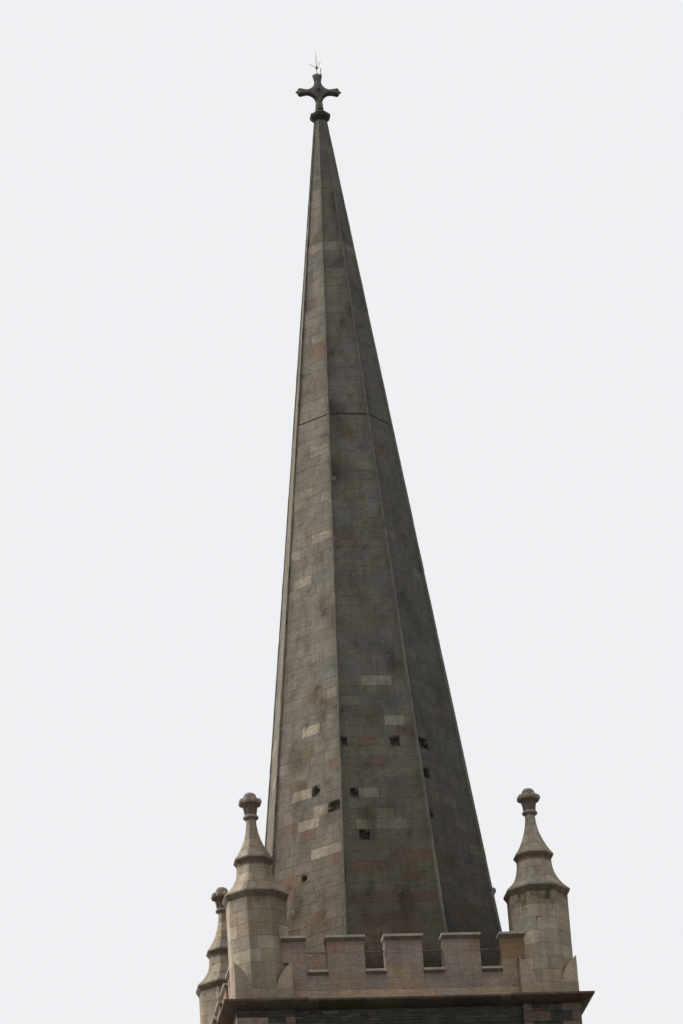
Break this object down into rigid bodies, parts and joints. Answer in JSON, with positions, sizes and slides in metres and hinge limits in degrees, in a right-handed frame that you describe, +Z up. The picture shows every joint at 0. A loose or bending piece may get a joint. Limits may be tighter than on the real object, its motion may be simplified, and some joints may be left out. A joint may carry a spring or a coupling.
{
  "type": "church spire on a battlemented tower head",
  "caption": "Ribbed octagonal stone spire on a square tower head with battlements and corner pinnacles, topped by a collar, a stone cross and a lightning rod.",
  "frame": {"origin": "middle of the tower head's foot, on the plane it rests on", "axes": "+Z up along the spire, -Y towards the front face, which the cross faces, +X to the right seen from the front"},
  "size_m": [8.014, 8.014, 27.62],
  "materials": {
    "walling": "thin-coursed dark rubble with sandstone quoins",
    "cornice_stone": "soot-darkened dressed sandstone",
    "parapet_stone": "pinkish brown sandstone ashlar",
    "pinnacle_stone": "buff grey sandstone ashlar, mossy under the lips",
    "spire_stone": "weathered grey sandstone ashlar with paler and redder stones",
    "cross_stone": "dark weathered carved sandstone",
    "rail_metal": "dull galvanised bar",
    "rod_metal": "dark weathered copper rod"
  },
  "bodies": {
    "root": {"copings": "parapet_stone", "cornice_back": "cornice_stone", "cornice_front": "cornice_stone", "cornice_left": "cornice_stone", "cornice_right": "cornice_stone", "crenel_rails": "rail_metal", "cross": "cross_stone", "lightning_rod": "rod_metal", "merlons": "parapet_stone", "parapet_back": "parapet_stone", "parapet_front": "parapet_stone", "parapet_left": "parapet_stone", "parapet_right": "parapet_stone", "pinnacle_base_back_left": "pinnacle_stone", "pinnacle_base_back_right": "pinnacle_stone", "pinnacle_base_front_left": "pinnacle_stone", "pinnacle_base_front_right": "pinnacle_stone", "pinnacle_cap_back_left": "pinnacle_stone", "pinnacle_cap_back_right": "pinnacle_stone", "pinnacle_cap_front_left": "pinnacle_stone", "pinnacle_cap_front_right": "pinnacle_stone", "pinnacle_finial_back_left": "pinnacle_stone", "pinnacle_finial_back_right": "pinnacle_stone", "pinnacle_finial_front_left": "pinnacle_stone", "pinnacle_finial_front_right": "pinnacle_stone", "pinnacle_shaft_back_left": "pinnacle_stone", "pinnacle_shaft_back_right": "pinnacle_stone", "pinnacle_shaft_front_left": "pinnacle_stone", "pinnacle_shaft_front_right": "pinnacle_stone", "spire_cap": "spire_stone", "spire_collar": "cross_stone", "spire_face_back": "spire_stone", "spire_face_back_left": "spire_stone", "spire_face_back_right": "spire_stone", "spire_face_front": "spire_stone", "spire_face_front_left": "spire_stone", "spire_face_front_right": "spire_stone", "spire_face_left": "spire_stone", "spire_face_right": "spire_stone", "spire_ribs": "spire_stone", "squinches": "walling", "tower_wall_back": "walling", "tower_wall_front": "walling", "tower_wall_left": "walling", "tower_wall_right": "walling"}
  },
  "joints": []
}
